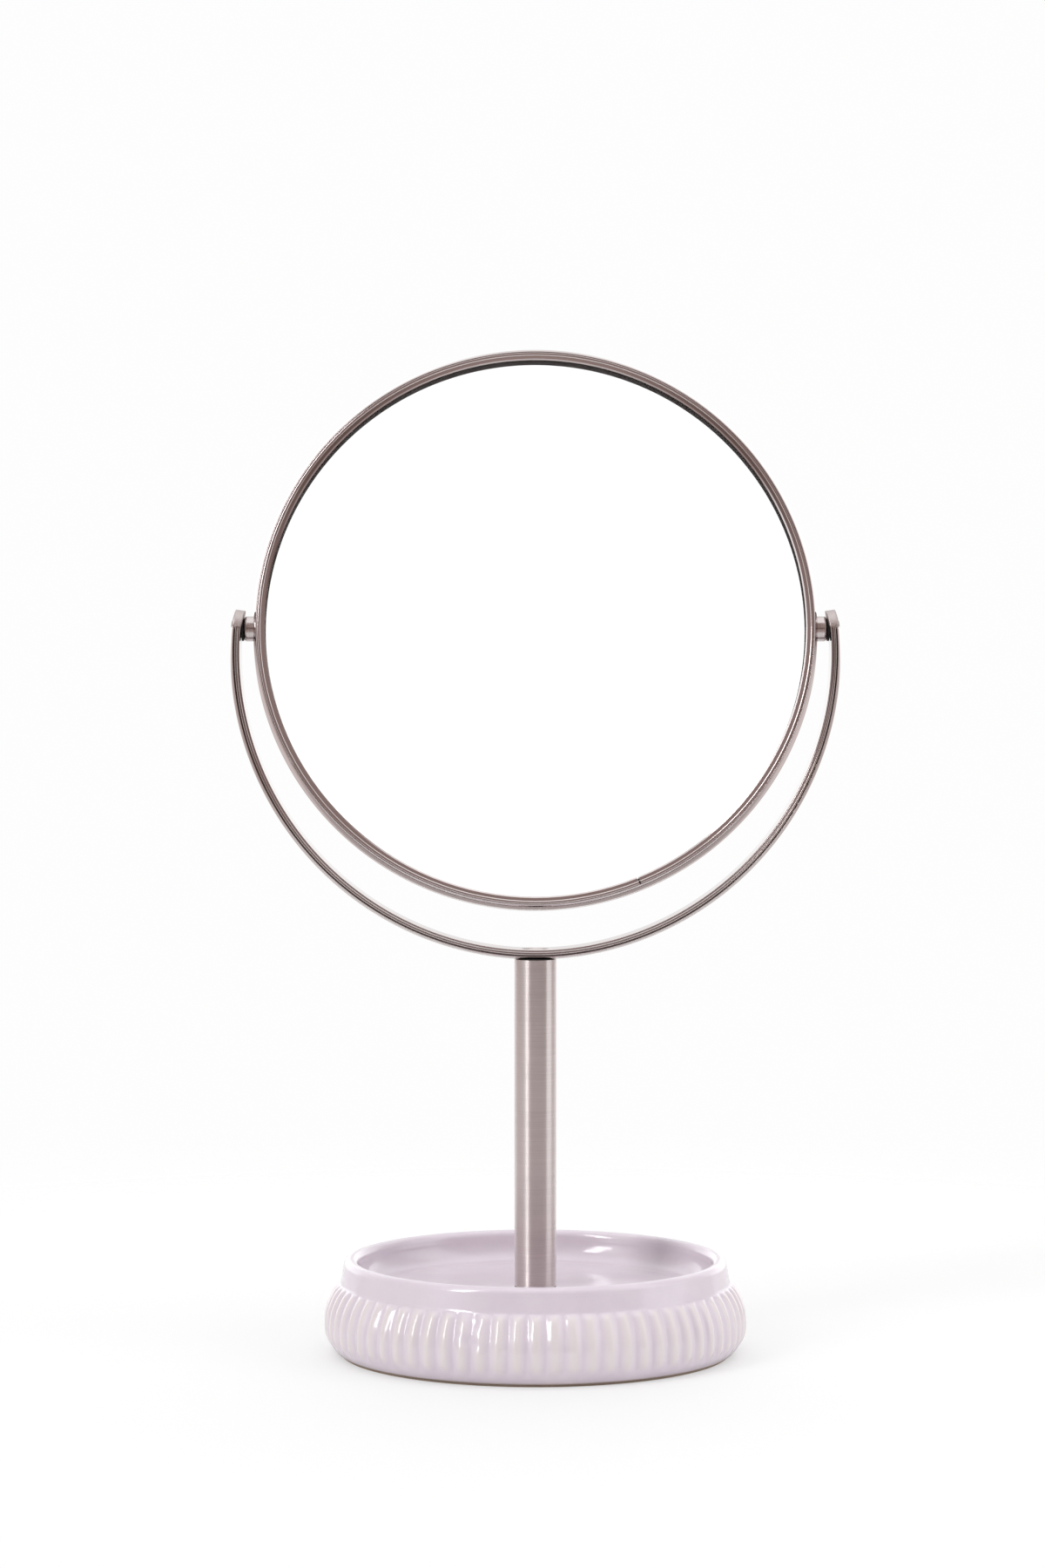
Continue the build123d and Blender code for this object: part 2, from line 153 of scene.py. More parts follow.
tip = np.sqrt(1 - np.clip((level - RIB_TIP) / RIB_TIP_LENGTH, 0, 1) ** 2)
rib_rise = smooth(RIB_START, RIB_FULL, level) * tip * ribbed
rib_wave = (0.5 + 0.5 * np.cos(RIB_COUNT * angle)) ** RIB_FULLNESS
front_angle = (angle + math.pi / 2 + math.pi) % (2 * math.pi) - math.pi
smear = np.exp(-((front_angle - SMEAR_ANGLE) / SMEAR_WIDTH) ** 2) * smooth(EQUATOR - 0.2, EQUATOR + 4.8, level)
wobble = SMEAR_WOBBLE * smear * np.sin(31 * angle + 0.9 * level)
uneven = 1 - UNEVEN * (0.5 + 0.5 * np.sin(5 * angle + 1.0) * np.sin(13 * angle))
rib_share = rib_rise * (rib_wave * (1 - 0.5 * smear) + wobble).clip(0, 1) * uneven
radius = profile[:, 0][:, None] + RIB_HEIGHT * rib_share
tray_points = np.stack([radius * np.cos(angle), radius * np.sin(angle), np.broadcast_to(level, radius.shape)], axis=-1)
new_piece(
    "glazed_tray", tray_points.reshape(-1, 3) * MM, ring_faces(len(profile), columns, True), "stand",
    ["tray_base"], {"crest": rib_share.astype(np.float32).ravel()},
)


def add(tree, kind, inputs=None, **settings):
    """New shader node; inputs are values or the sockets that feed them."""
    made = tree.nodes.new(kind)
    for key, value in settings.items():
        setattr(made, key, value)
    for key, value in (inputs or {}).items():
        if isinstance(value, bpy.types.NodeSocket):
            tree.links.new(value, made.inputs[key])
        else:
            made.inputs[key].default_value = value
    return made


def calc(tree, operation, *values):
    """Result of a sum on numbers and sockets."""
    return add(tree, "ShaderNodeMath", dict(enumerate(values)), operation=operation).outputs[0]


def vector_calc(tree, operation, *values):
    """Result of a sum on vectors."""
    return add(tree, "ShaderNodeVectorMath", dict(enumerate(values)), operation=operation).outputs[0]


def step(tree, value, low, high, start=0.0, end=1.0):
    """Soft step of a value from start to end."""
    inputs = {"Value": value, "From Min": low, "From Max": high, "To Min": start, "To Max": end}
    return add(tree, "ShaderNodeMapRange", inputs, interpolation_type="SMOOTHSTEP").outputs[0]


def mixed(tree, share, first, second):
    """Blend of two colours."""
    made = add(tree, "ShaderNodeMix", data_type="RGBA")
    for socket, value in ((made.inputs[0], share), (made.inputs[6], first), (made.inputs[7], second)):
        if isinstance(value, bpy.types.NodeSocket):
            tree.links.new(value, socket)
        else:
            socket.default_value = value
    return made.outputs[2]


def grain(tree, scale, detail=4.0, vector=None, roughness=0.55):
    """Noise in the object's own coordinates, or along a given vector."""
    vector = vector or add(tree, "ShaderNodeTexCoord").outputs["Object"]
    inputs = {"Vector": vector, "Scale": scale, "Detail": detail, "Roughness": roughness}
    return add(tree, "ShaderNodeTexNoise", inputs).outputs["Fac"]


def finish_of(name, **values):
    """New material with its main shader; values are that shader's sockets with _ for a space."""
    made = bpy.data.materials.new(name)
    made.use_nodes = True
    shader = made.node_tree.nodes["Principled BSDF"]
    for key, value in values.items():
        shader.inputs[key.replace("_", " ")].default_value = value
    return made, made.node_tree, shader


def feed(tree, shader, **sockets):
    """Links sockets into a shader's inputs."""
    for key, socket in sockets.items():
        tree.links.new(socket, shader.inputs[key.replace("_", " ")])


def dress(finish, *names):
    """Puts a finish on CAD nodes or new pieces."""
    for name in names:
        data = bpy.data.objects[name].data
        data.materials.clear()
        data.materials.append(finish)


glaze, tree, shader = finish_of(
    "lilac_glaze", Roughness=0.28, IOR=1.5, Coat_Weight=0.8, Coat_Roughness=0.06, Coat_IOR=1.7, Specular_IOR_Level=0.3
)
crest = add(tree, "ShaderNodeAttribute", attribute_name="crest").outputs["Fac"]
height = add(tree, "ShaderNodeSeparateXYZ", {0: add(tree, "ShaderNodeTexCoord").outputs["Object"]}).outputs["Z"]
lilac = mixed(tree, step(tree, grain(tree, 60), 0.35, 0.65), (0.655, 0.575, 0.650, 1), (0.685, 0.605, 0.668, 1))
cream = mixed(tree, step(tree, crest, 0.10, 0.95), lilac, (0.700, 0.632, 0.645, 1))
speck = step(tree, grain(tree, 1500, 2), 0.70, 0.78, 0, 0.25)
speckled = mixed(tree, speck, cream, (0.60, 0.52, 0.55, 1))
bare = mixed(tree, step(tree, height, 0.0008, 0.0017), (0.42, 0.33, 0.28, 1), speckled)
ripple = add(tree, "ShaderNodeBump", {"Height": grain(tree, 240, 2), "Strength": 0.06, "Distance": 0.001})
feed(tree, shader, Base_Color=bare, Normal=ripple.outputs[0], Coat_Normal=ripple.outputs[0])
dress(glaze, "glazed_tray")

# The fixing under the tray: felt pad, rubber cushion, steel washer and hexagon bolt.
# All are bought-in parts; the bolt pulls the stem down on the tray floor from inside the hollow foot.
felt, tree, shader = finish_of("tan_felt", Roughness=0.95)
fibre = grain(tree, 2200, 6)
feed(tree, shader, Base_Color=mixed(tree, fibre, (0.30, 0.23, 0.18, 1), (0.46, 0.36, 0.29, 1)))
fuzz = add(tree, "ShaderNodeBump", {"Height": fibre, "Strength": 0.5, "Distance": 0.0003})
feed(tree, shader, Normal=fuzz.outputs[0])
dress(felt, "base_pad")

rubber, tree, shader = finish_of("black_rubber", Roughness=0.7)
dust = grain(tree, 900)
feed(tree, shader, Base_Color=mixed(tree, dust, (0.012, 0.011, 0.011, 1), (0.035, 0.033, 0.032, 1)))
dress(rubber, "cushion_washer", "stem_seal")

turned, tree, shader = finish_of("plain_steel", Metallic=1.0, Roughness=0.32)
tool_marks = grain(tree, 1400, 3)
feed(tree, shader, Base_Color=mixed(tree, tool_marks, (0.42, 0.41, 0.40, 1), (0.58, 0.57, 0.56, 1)))
feed(tree, shader, Roughness=step(tree, tool_marks, 0.2, 0.8, 0.24, 0.42))
dress(turned, "base_washer", "base_bolt")

# The stem: a steel tube brushed round and round, with a threaded plug pressed into each end.
# It stands on a thin rubber seal on the tray floor.


def brushed(name, tint, roughness, centre, axis, lines=6000.0, length=45.0, relief=0.015, stretch=0.7, contrast=1.0):
    """Steel brushed round an axis: fine lines along the turn, and reflections drawn out across them."""
    made, tree, shader = finish_of(name, Metallic=1.0, Anisotropic=stretch, Anisotropic_Rotation=0.25)
    place = add(tree, "ShaderNodeTexCoord").outputs["Object"]
    local = vector_calc(tree, "SUBTRACT", place, centre)
    along = add(tree, "ShaderNodeVectorMath", {0: local, 1: axis}, operation="DOT_PRODUCT").outputs["Value"]
    around = vector_calc(tree, "CROSS_PRODUCT", axis, local)
    distance = add(tree, "ShaderNodeVectorMath", {0: around}, operation="LENGTH").outputs["Value"]
    across = [calc(tree, "MULTIPLY", value, lines) for value in (along, distance)]
    lay = add(tree, "ShaderNodeCombineXYZ", dict(enumerate(across))).outputs[0]
    drift = add(tree, "ShaderNodeVectorMath", {0: around, "Scale": length}, operation="SCALE").outputs[0]
    scratch = grain(tree, 1.0, 3, vector_calc(tree, "ADD", lay, drift), 0.7)
    patchy = calc(tree, "MULTIPLY_ADD", grain(tree, 55, 3), 0.3, calc(tree, "MULTIPLY", scratch, 0.7))
    dark = tuple(c * (1 - 0.14 * contrast) for c in tint) + (1,)
    light = tuple(min(1.0, c * (1 + 0.07 * contrast)) for c in tint) + (1,)
    feed(tree, shader, Base_Color=mixed(tree, step(tree, patchy, 0.3, 0.7), dark, light))
    feed(tree, shader, Roughness=step(tree, scratch, 0.25, 0.75, roughness * 0.8, roughness * 1.2))
    groove = add(tree, "ShaderNodeBump", {"Height": scratch, "Strength": relief, "Distance": 0.0001})
    turn = add(tree, "ShaderNodeVectorTransform", {0: around}, convert_from="OBJECT", convert_to="WORLD")
    feed(tree, shader, Normal=groove.outputs[0], Tangent=vector_calc(tree, "NORMALIZE", turn.outputs[0]))
    return made, tree, shader


STEEL = (0.600, 0.545, 0.540)
STEM_STEEL = (0.660, 0.600, 0.590)
dress(brushed("brushed_stem", STEM_STEEL, 0.36, (0, 0, 0), (0, 0, 1), stretch=0.9)[0], "stem_tube")
dress(turned, "stem_foot_plug", "stem_top_plug")

# The yoke: a steel strap rolled half-round outside, with a bead along each edge, and bent to a U.
# A countersunk screw holds it on the stem, and the pins are riveted flush into its flattened ends.
PIVOT_LEVEL, YOKE_LEVEL = 239.4, 231.2
YOKE_RADIUS = 100.53
STRAP, STRAP_HALF, STRAP_CROWN = 3.3, 6.25, 1.15  # thickness, half of the width, fall of the rounded outside
CROWN_START = 0.45  # share of the half width that stays flat
SEAT_SAG = 0.3  # how far the strap is pressed down on the stem
PAD = 3.1  # thickness of the flattened ends
PAD_EDGE, EDGE_FACE = 2.6, 2.16  # edge face at the flattened ends, and along the strap
PAD_TOP_SHARE = 0.97  # of the width, outside of the flattened ends
PAD_LEAN = 0.1  # how far these lean in, per length
PAD_START, FLATTEN_FROM, FLATTEN_TO = -2.5, 0.2, 1.2  # heights from the pivot
MATTE_FROM, MATTE_TO, MATTE_ROUGHNESS = 0.4, 1.2, 0.42  # ground finish of the ends
BOSS_RADIUS, BOSS_RISE = 4.8, 0.08
SCREW_SINK, SCREW_SINK_RADIUS = 0.86, 4.0
SCREW_TURN = 0.09  # finer steps round the screw, in radians
SOFT_EDGE = 0.6  # of the boss, of the screw's sink and of the inner corner
FAR_AWAY = 50  # keeps the upper half of the circle out of the screw's sink
EDGE_ROUND, EDGE_ROUND_POINTS = 0.45, 6  # inner corner of the strap
BEAD_PLACE, BEAD_ROUND = 1.35, 0.38  # rolled bead along the middle of each edge
GROOVE_DEPTH = 0.5  # between the bead and the crown
edge_face = np.concatenate([  # thickness from the inside, and depth below the strap's edge
    arc((EDGE_ROUND, EDGE_ROUND), EDGE_ROUND, 180, 270, EDGE_ROUND_POINTS),
    [(BEAD_PLACE - 0.50, 0.03), (BEAD_PLACE - 0.38, 0.24)],
    arc((BEAD_PLACE, BEAD_ROUND), BEAD_ROUND, 210, 330, 9),
    [(BEAD_PLACE + 0.41, GROOVE_DEPTH - 0.02), (BEAD_PLACE + 0.60, GROOVE_DEPTH)],
    [(BEAD_PLACE + 0.71, GROOVE_DEPTH - 0.06)],
    [(STRAP - STRAP_CROWN - 0.05, 0.26), (STRAP - STRAP_CROWN + 0.01, 0.12)],
])


def end_faces(rows, columns):
    """One face over the first row of a grid and one over its last."""
    return [list(range(columns)), list(range((rows - 1) * columns, rows * columns))]


def crown_fall(across):
    """How far the outside of the strap has rounded off, across from 0 at the middle to 1 at an edge."""
    return STRAP_CROWN * np.clip((abs(across) - CROWN_START) / (1 - CROWN_START), 0, 1) ** 2


crown_place = np.linspace(-1, 0, 24)[1:]
crown = np.stack([STRAP - crown_fall(crown_place), STRAP_HALF * crown_place], axis=-1)
inside = np.stack([np.zeros(12), -np.linspace(0, STRAP_HALF - SOFT_EDGE, 12)], axis=-1)
face = np.stack([edge_face[:, 0], edge_face[:, 1] - STRAP_HALF], axis=-1)
half = np.concatenate([inside, face, crown])
strap_profile = np.concatenate([half, half[-2:0:-1] * [1, -1]])
groove_shade = smooth(0.1, 0.35, edge_face[EDGE_ROUND_POINTS:, 1])  # where the groove beside the bead gets painted shade, past the inner corner
groove_shade = np.concatenate([np.zeros(len(inside) + EDGE_ROUND_POINTS), groove_shade, np.zeros(len(crown))])
groove_shade = np.concatenate([groove_shade, groove_shade[-2:0:-1]])
plain = strap_profile.copy()
on_crown = plain[:, 0] > STRAP - STRAP_CROWN + 0.005
plain[:, 0] = np.where(on_crown, PAD, plain[:, 0] * PAD_EDGE / EDGE_FACE)
square = np.where(plain[:, 0] > 0.2, STRAP_HALF, abs(plain[:, 1]))
plain[:, 1] = np.where(on_crown, plain[:, 1] * PAD_TOP_SHARE, np.sign(plain[:, 1]) * square)

inner_radius = YOKE_RADIUS - STRAP
rises = np.concatenate([np.linspace(PAD_START, 0, 16)[:-1], STRAP_HALF * np.sin(np.linspace(0, math.pi / 2, 18))])
end_turn = np.arccos(-(rises + PIVOT_LEVEL - YOKE_LEVEL) / (inner_radius + STRAP / 2))
near_screw = np.linspace(0, SCREW_TURN, 18)
half_turn = np.concatenate([near_screw, np.linspace(SCREW_TURN, end_turn[0], 130)[1:-1], end_turn])
strap_turn = np.concatenate([-half_turn[:0:-1], half_turn])[:, None]
rise = -(inner_radius + STRAP / 2) * np.cos(strap_turn) - (PIVOT_LEVEL - YOKE_LEVEL)
flattened = smooth(FLATTEN_FROM, FLATTEN_TO, rise)
thickness = strap_profile[:, 0] + (plain[:, 0] - strap_profile[:, 0]) * flattened
depth = strap_profile[:, 1] + (plain[:, 1] - strap_profile[:, 1]) * flattened
depth = depth * np.sqrt(np.clip(1 - (rise.clip(0, None) / STRAP_HALF) ** 2, 0.0004, 1))
from_pin = np.hypot(rise, depth)
from_screw = np.hypot(inner_radius * np.sin(strap_turn), depth) + FAR_AWAY * (np.cos(strap_turn) < 0)
is_inside = strap_profile[:, 0] < 0.001
thickness = thickness - is_inside * BOSS_RISE * smooth(-BOSS_RADIUS, SOFT_EDGE - BOSS_RADIUS, -from_pin)
sunk = smooth(-SCREW_SINK_RADIUS - SOFT_EDGE, -SCREW_SINK_RADIUS, -from_screw)
thickness = thickness + is_inside * SCREW_SINK * sunk
reach = inner_radius + thickness - PAD_LEAN * rise.clip(0, None)
sag = SEAT_SAG * np.cos(strap_turn).clip(0, 1) ** 2
yoke_points = np.stack([reach * np.sin(strap_turn), depth, YOKE_LEVEL - sag - reach * np.cos(strap_turn)], axis=-1)
stations, around_strap = reach.shape
yoke_faces = ring_faces(stations, around_strap) + end_faces(stations, around_strap)
# The groove attribute carries painted shade: how far the colour is darkened in the grooves beside the beads.
groove_shade_share = (groove_shade * (1 - flattened)).astype(np.float32).ravel()
new_piece(
    "rolled_yoke", yoke_points.reshape(-1, 3) * MM, yoke_faces, "stand", ["yoke"],
    {"groove": groove_shade_share},
)
YOKE_STEEL = (0.560, 0.505, 0.495)
YOKE_CENTRE = (0, 0, YOKE_LEVEL * MM)
yoke_steel, tree, shader = brushed(
    "brushed_yoke", YOKE_STEEL, 0.08, YOKE_CENTRE, (0, 1, 0), 4000.0, 12.0, 0.003, 0.2, 0.4
)
spot = add(tree, "ShaderNodeSeparateXYZ", {0: add(tree, "ShaderNodeTexCoord").outputs["Object"]}).outputs
ground = step(tree, spot["Z"], (PIVOT_LEVEL + MATTE_FROM) * MM, (PIVOT_LEVEL + MATTE_TO) * MM)
polish = shader.inputs["Roughness"].links[0].from_socket
feed(tree, shader, Roughness=calc(tree, "ADD", polish, calc(tree, "MULTIPLY", ground, MATTE_ROUGHNESS)))
# Painted shade: the colour is darkened along the groove beside each bead, where the recess would be shaded.
groove = add(tree, "ShaderNodeAttribute", attribute_name="groove").outputs["Fac"]
tone = shader.inputs["Base Color"].links[0].from_socket
feed(tree, shader, Base_Color=mixed(tree, calc(tree, "MULTIPLY", groove, 0.7), tone, (0.10, 0.085, 0.08, 1)))
dress(yoke_steel, "rolled_yoke")

PACKING_LOWER, PACKING_UPPER = [0.01, 3.0, 6.0, 6.2], [6.2, 6.0, 4.5, 3.0, 1.5, 0.01]  # radii, outwards and back in
PACKING_STEPS = 64
PACKING_SEAT, PACKING_THIN, PACKING_THICK = 0.002, 0.02, 0.3  # heights over the stem
stem_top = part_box("stem_tube")[1].z / MM
packing_turn = np.linspace(0, 2 * math.pi, PACKING_STEPS, endpoint=False)
packing_radius = np.array(PACKING_LOWER + PACKING_UPPER)[:, None]
packing_x, packing_y = packing_radius * np.cos(packing_turn), packing_radius * np.sin(packing_turn)
under_yoke = YOKE_LEVEL - SEAT_SAG - np.sqrt(YOKE_RADIUS**2 - packing_x**2) + crown_fall(packing_y / STRAP_HALF)
packing_top = np.clip(under_yoke, stem_top + PACKING_THIN, stem_top + PACKING_THICK)
packing_rows = len(packing_radius)
is_lower = np.arange(packing_rows)[:, None] < len(PACKING_LOWER)
packing_z = np.where(is_lower, stem_top + PACKING_SEAT, packing_top)
packing_points = np.stack([packing_x, packing_y, packing_z], axis=-1).reshape(-1, 3) * MM
packing_faces = ring_faces(packing_rows, PACKING_STEPS) + end_faces(packing_rows, PACKING_STEPS)
new_piece("pressed_saddle", packing_points, packing_faces, "stand", ["yoke_saddle"])
dress(rubber, "pressed_saddle")
dress(turned, "yoke_screw", "pivot_pin_left", "pivot_pin_right")

nylon, tree, shader = finish_of("black_nylon", Roughness=0.55, Specular_IOR_Level=0.2)
scuff = grain(tree, 1800, 3)
feed(tree, shader, Base_Color=mixed(tree, scuff, (0.006, 0.006, 0.006, 1), (0.022, 0.021, 0.021, 1)))
dress(nylon, "friction_washer_left", "friction_washer_right")

# The head's metal: a half-round hoop, a split retaining ring on each side, and the turned pivot bushes.
# The hoop is rolled to its crown and polished; thin nuts inside it hold the bushes in flat seats.
TILT = math.radians(8.0)
HEAD_AXIS = (0, math.cos(TILT), -math.sin(TILT))
PIVOT = (0, 0, PIVOT_LEVEL * MM)
HOOP_RADIUS, HOOP_BORE, HOOP_CROWN, HOOP_HALF = 93.2, 91.5, 1.4, 6.25
HOOP_EDGE, EDGE_MARGIN = 0.22, 0.1  # rounding of its edges, and the crown's end inside them
HOOP_STEPS = 720
SEAT_RADIUS, SEAT_LEVEL = 3.0, 92.4  # flat under a bush


def in_head(sideways, depth, rise):
    """Points in metres from places in the tilted head: sideways, from front to rear and up the glass, in mm."""
    depth, rise = depth * math.cos(TILT) + rise * math.sin(TILT), rise * math.cos(TILT) - depth * math.sin(TILT)
    return np.stack(np.broadcast_arrays(sideways, depth, rise + PIVOT_LEVEL), axis=-1).reshape(-1, 3) * MM


hoop_across = np.linspace(-1, 1, 41)
crown_radius = HOOP_RADIUS - HOOP_CROWN * hoop_across**2
crown_rows = np.stack([crown_radius, (HOOP_HALF - EDGE_MARGIN) * hoop_across], axis=-1)
edge_radius = HOOP_RADIUS - HOOP_CROWN
front_edge = arc((edge_radius - HOOP_EDGE, -HOOP_HALF + HOOP_EDGE), HOOP_EDGE, -90, -40, 5)
rear_edge = front_edge[::-1] * [1, -1]
bore = np.stack([np.full(9, HOOP_BORE), np.linspace(HOOP_HALF, -HOOP_HALF, 9)], axis=-1)
section = np.concatenate([front_edge, crown_rows, rear_edge, bore])
hoop_turn = np.linspace(0, 2 * math.pi, HOOP_STEPS, endpoint=False)
sideways = section[:, :1] * np.cos(hoop_turn)
upward = section[:, :1] * np.sin(hoop_turn)
seated = np.hypot(upward, section[:, 1:]) < SEAT_RADIUS
sideways = np.where(seated, sideways.clip(-SEAT_LEVEL, SEAT_LEVEL), sideways)
hoop_points = in_head(sideways, section[:, 1:], upward)
hoop_faces = ring_faces(len(section), HOOP_STEPS, True)
new_piece("crowned_hoop", hoop_points, hoop_faces, "mirror_head", ["hoop"])
polished = (4000.0, 12.0, 0.002, 0.0, 0.3)  # fine lines that hardly show, and no stretched reflections
dress(brushed("brushed_hoop", STEEL, 0.05, PIVOT, HEAD_AXIS, *polished)[0], "crowned_hoop")
dress(brushed("brushed_bezel", STEEL, 0.12, PIVOT, HEAD_AXIS, *polished)[0], "front_bezel", "rear_bezel")
dress(brushed("brushed_bush", STEEL, 0.24, PIVOT, (1, 0, 0))[0], "pivot_bush_left", "pivot_bush_right")
dress(turned, "pivot_nut_left", "pivot_nut_right")

foam, tree, shader = finish_of("grey_foam", Roughness=0.9)
cells = grain(tree, 3000, 2)
feed(tree, shader, Base_Color=mixed(tree, cells, (0.08, 0.08, 0.085, 1), (0.16, 0.16, 0.165, 1)))
dress(foam, "spacer_ring")

# The two mirrors: float glass silvered on the hidden side, the rear one dished to magnify.
# The silver is a skin of its own at the hidden face of the glass, which gives the edge its depth.
SILVER_RADIUS = 88.62 * MM
SILVER_CENTRE = (-0.08 * MM, 0, (PIVOT_LEVEL - 0.93) * MM)  # the painted shade round it, where the glass edge meets the ring, is wider at the top
EDGE_SHADE_BLUR = 0.05 * MM
GLASS_BACK, GLASS_THICKNESS = 2.35, 2.0  # hidden faces from the middle of the head, and the glass
DISH_SAG = 4.2
SILVER_GAP = 0.02  # how deep the skins lie in the glass
SKIN_HOLE, SKIN_MARGIN, SKIN_STEPS = 0.005, 0.1, 256
silver, tree, shader = finish_of("silvering")
mist = grain(tree, 40, 3)
local = vector_calc(tree, "SUBTRACT", add(tree, "ShaderNodeTexCoord").outputs["Object"], SILVER_CENTRE)
around = vector_calc(tree, "CROSS_PRODUCT", HEAD_AXIS, local)
distance = add(tree, "ShaderNodeVectorMath", {0: around}, operation="LENGTH").outputs["Value"]
# Painted shade: past the silver's edge the colour turns dark and not metallic, standing in for the shaded gap where
# the glass meets the ring.
edge_shade = step(tree, distance, SILVER_RADIUS - EDGE_SHADE_BLUR, SILVER_RADIUS + EDGE_SHADE_BLUR)
bright = mixed(tree, mist, (0.955, 0.957, 0.958, 1), (0.975, 0.976, 0.977, 1))
feed(tree, shader, Base_Color=mixed(tree, edge_shade, bright, (0.060, 0.053, 0.052, 1)))
matte = calc(tree, "MULTIPLY", edge_shade, 0.5)
feed(tree, shader, Roughness=calc(tree, "ADD", step(tree, mist, 0.3, 0.8, 0.0, 0.012), matte))
feed(tree, shader, Metallic=calc(tree, "SUBTRACT", 1.0, edge_shade))
glass, tree, shader = finish_of("clear_glass", Transmission_Weight=1.0, Roughness=0.0, IOR=1.5)
tinge = grain(tree, 25, 2)
feed(tree, shader, Base_Color=mixed(tree, tinge, (0.985, 0.995, 0.990, 1), (0.992, 0.998, 0.996, 1)))
dress(glass, "front_mirror")

low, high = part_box("front_mirror")
glass_radius = (high.x - low.x) / 2 / MM
dish_radius = (glass_radius**2 + DISH_SAG**2) / (2 * DISH_SAG)


def dish_depth(radius):
    """Depth of the dished glass's hidden face, positive towards the rear."""
    return GLASS_BACK - DISH_SAG + dish_radius - np.sqrt(dish_radius**2 - radius**2)


skin_turn = np.linspace(0, 2 * math.pi, SKIN_STEPS, endpoint=False)
skin_radius = np.linspace(SKIN_HOLE, glass_radius - SKIN_MARGIN, 24)[:, None]
glass_rows = np.append(skin_radius, [[glass_radius]], axis=0)
glass_side = np.append(dish_depth(glass_rows), dish_depth(glass_rows[::-1]) + GLASS_THICKNESS, axis=0)
glass_rows = np.append(glass_rows, glass_rows[::-1], axis=0)
glass_points = in_head(glass_rows * np.cos(skin_turn), glass_side, glass_rows * np.sin(skin_turn))
glass_faces = ring_faces(len(glass_rows), SKIN_STEPS) + end_faces(len(glass_rows), SKIN_STEPS)
new_piece("dished_glass", glass_points, glass_faces, "mirror_head", ["rear_mirror"])
dress(glass, "dished_glass")
skins = (("front_silver", -GLASS_BACK - SILVER_GAP), ("rear_silver", dish_depth(skin_radius) + SILVER_GAP))
for name, skin_depth in skins:
    skin_points = in_head(skin_radius * np.cos(skin_turn), skin_depth, skin_radius * np.sin(skin_turn))
    new_piece(name, skin_points, ring_faces(len(skin_radius), SKIN_STEPS), "mirror_head")
    dress(silver, name)

# The stage: a pale table that fades out into the white background, and a soft studio around it.
# The studio is white behind and above, with a strip light at the left and a broad panel at the right.
TABLE_RADIUS, FADE_FROM, FADE_TO = 0.7, 0.25, 0.60
TABLE_GLOW = 0.475  # keeps the table as pale as the background, for the camera only
bpy.ops.mesh.primitive_circle_add(vertices=96, radius=TABLE_RADIUS, fill_type="NGON")
table = bpy.context.object
table.name = "table_top"
paper, tree, shader = finish_of("white_table", Roughness=0.8, Emission_Color=(0.985, 0.985, 0.985, 1))
ray = add(tree, "ShaderNodeLightPath").outputs
seen = ray["Is Camera Ray"]
pale = mixed(tree, grain(tree, 30, 2), (0.87, 0.87, 0.87, 1), (0.89, 0.89, 0.89, 1))
duller = mixed(tree, ray["Is Glossy Ray"], pale, (0.76, 0.76, 0.76, 1))
feed(tree, shader, Base_Color=mixed(tree, seen, duller, (0.40, 0.40, 0.40, 1)))
place = add(tree, "ShaderNodeTexCoord").outputs["Object"]
from_middle = add(tree, "ShaderNodeVectorMath", {0: place}, operation="LENGTH").outputs["Value"]
feed(tree, shader, Alpha=step(tree, from_middle, FADE_FROM, FADE_TO, 1.0, 0.0))
feed(tree, shader, Emission_Strength=calc(tree, "MULTIPLY", seen, TABLE_GLOW))
table.data.materials.append(paper)

world = bpy.data.worlds.new("studio")
bpy.context.scene.world = world
world.use_nodes = True
tree = world.node_tree
way = add(tree, "ShaderNodeSeparateXYZ", {0: add(tree, "ShaderNodeTexCoord").outputs["Generated"]})
side = calc(tree, "DEGREES", calc(tree, "ARCTAN2", way.outputs["X"], calc(tree, "MULTIPLY", way.outputs["Y"], -1.0)))
lift = calc(tree, "DEGREES", calc(tree, "ARCSINE", way.outputs["Z"]))


def panel(side_from, side_to, lift_from, lift_to, soft):
    """Share of a soft-edged panel in the direction looked at, angles in degrees from the camera's side."""
    parts = [
        step(tree, side, side_from - soft, side_from + soft),
        step(tree, side, side_to - soft, side_to + soft, 1.0, 0.0),
        step(tree, lift, lift_from - soft, lift_from + soft),
        step(tree, lift, lift_to - soft, lift_to + soft, 1.0, 0.0),
    ]
    share = parts[0]
    for part in parts[1:]:
        share = calc(tree, "MULTIPLY", share, part)
    return share


def toward(level, share, target):
    """Light level moved towards a target by a share."""
    return calc(tree, "MULTIPLY_ADD", calc(tree, "SUBTRACT", target, level), share, level)


turned_away = calc(tree, "ABSOLUTE", side)
studio = toward(toward(0.46, step(tree, lift, -7, -1), 0.17), step(tree, lift, 2, 14), 0.36)  # dim room in front
white_back = toward(toward(0.70, step(tree, lift, -5, 2), 1.55), step(tree, lift, 14, 26), 1.0)
studio = toward(studio, step(tree, turned_away, 120, 136), white_back)  # white wall behind the mirror
studio = toward(studio, step(tree, turned_away, 172, 178), 0.95)  # a little dimmer straight behind
studio = toward(studio, panel(-128, -62, -90, 70, 6), 0.66)  # left wall
studio = toward(studio, panel(96, 128, -90, 70, 6), 0.72)  # right wall
studio = toward(studio, step(tree, lift, 48, 62), 1.35)  # ceiling
studio = toward(studio, panel(66, 100, -20, 65, 4), 1.35)  # broad panel at the right
studio = toward(studio, panel(-70, -42, 6, 54, 7), 1.2)  # soft surround of the strip light
studio = toward(studio, panel(-60, -48, -16, 14, 3), 1.3)  # its glow further down
studio = toward(studio, panel(-54, -41, 15, 50, 2), 8.0)  # strip light at the left
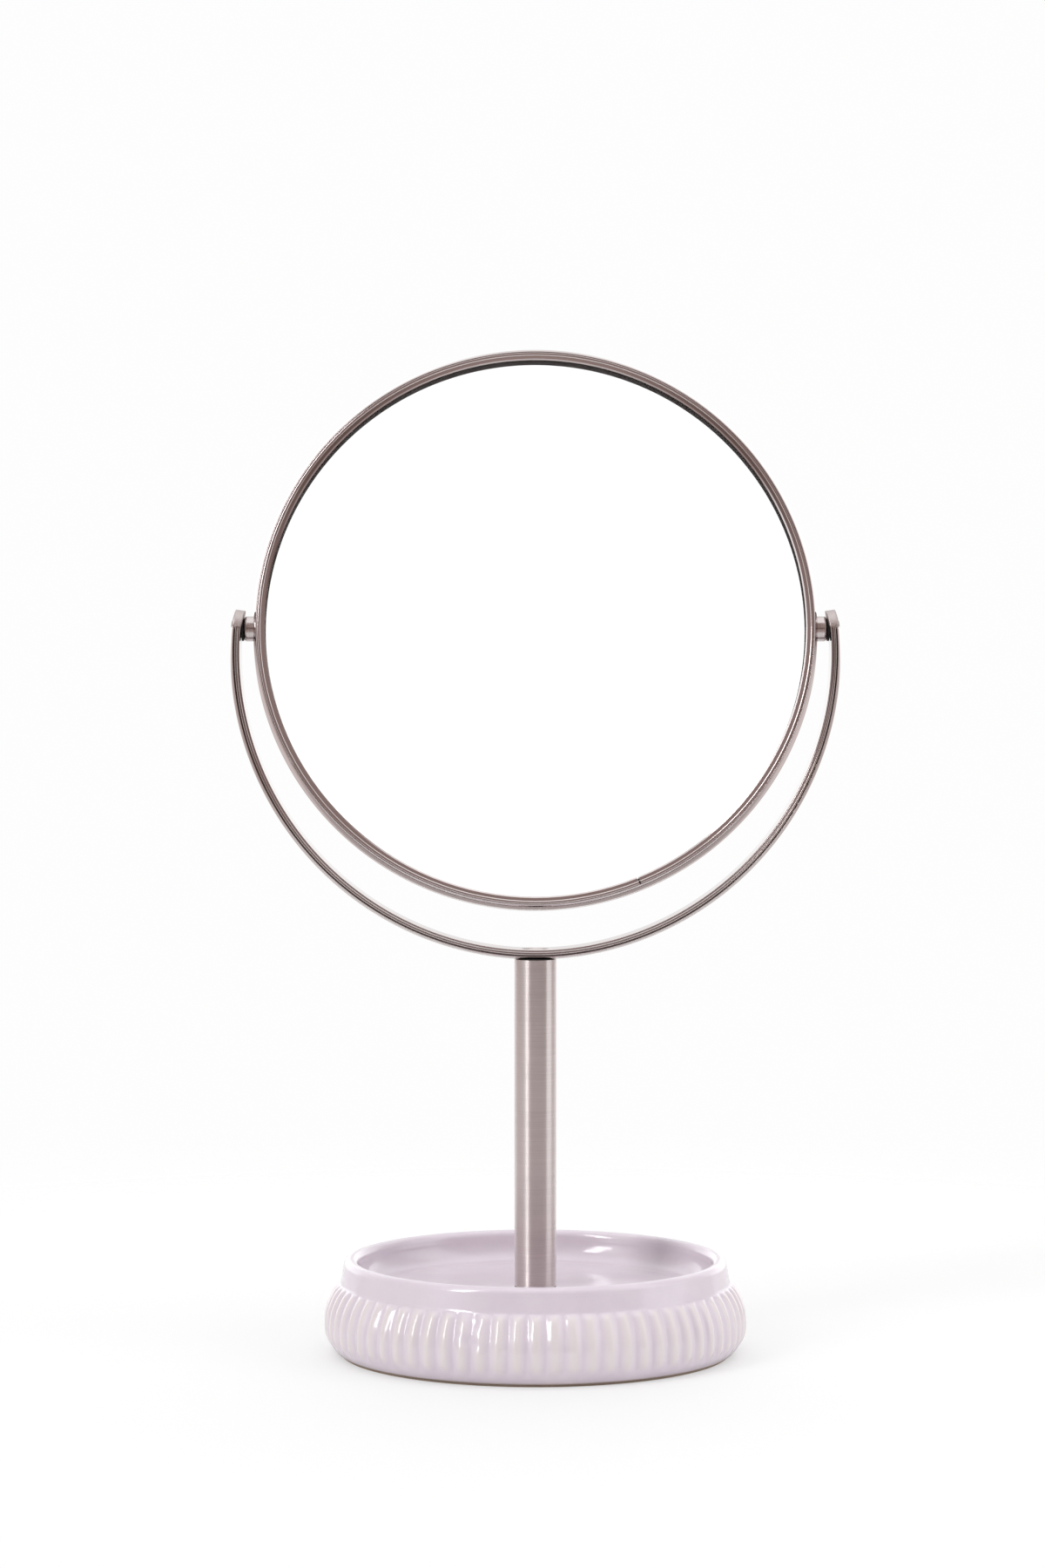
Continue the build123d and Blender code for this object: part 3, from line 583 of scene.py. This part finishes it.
CAMERA_WHITE, GLASS_WHITE = 0.985, 1.13  # background, and the white room that the mirrors show
WARMTH = (0.0, -0.36, -0.44)  # change of red, green and blue where the room is dim
world_ray = add(tree, "ShaderNodeLightPath").outputs
light_level = toward(studio, world_ray["Is Camera Ray"], CAMERA_WHITE)
light_level = toward(light_level, world_ray["Is Transmission Ray"], GLASS_WHITE)
dim = add(tree, "ShaderNodeClamp", {0: calc(tree, "SUBTRACT", 1.0, light_level)}).outputs[0]
dim = calc(tree, "MULTIPLY", dim, world_ray["Is Glossy Ray"])
warmed = [calc(tree, "MULTIPLY_ADD", dim, warm, 1.0) for warm in WARMTH]
channels = [calc(tree, "MULTIPLY", light_level, share) for share in warmed]
background = tree.nodes["Background"]
tree.links.new(add(tree, "ShaderNodeCombineColor", dict(enumerate(channels))).outputs[0], background.inputs["Color"])


def hidden_softbox(name, place, target, size, power):
    """Large lamp that lights the object but doesn't show in its reflections."""
    lamp = bpy.data.lights.new(name, "AREA")
    lamp.size = size
    lamp.energy = power
    softbox = bpy.data.objects.new(name, lamp)
    softbox.location = place
    softbox.rotation_euler = (Vector(target) - Vector(place)).to_track_quat("-Z", "Y").to_euler()
    softbox.visible_glossy = False
    bpy.context.scene.collection.objects.link(softbox)


hidden_softbox("overhead_softbox", (0, 0, 1.5), (0, 0, 0), 1.6, 3.1)
hidden_softbox("front_softbox", (1.5, -0.9, 0.75), (0, 0, 0.05), 1.2, 7.6)

# The camera: a long lens level with the pivots, looking down a little.
# It stands 1.3 m in front of the plain mirror.
CAMERA_PLACE = (-0.00425, -1.322, 0.239)
LENS, LOOK_DOWN = 92.0, 2.2
camera = bpy.data.objects.new("camera", bpy.data.cameras.new("camera"))
camera.data.lens = LENS
camera.data.sensor_width = 36.0
camera.location = CAMERA_PLACE
camera.rotation_euler = (math.radians(90 - LOOK_DOWN), 0, 0)
bpy.context.scene.collection.objects.link(camera)
bpy.context.scene.camera = camera
bpy.context.scene.view_settings.view_transform = "Standard"
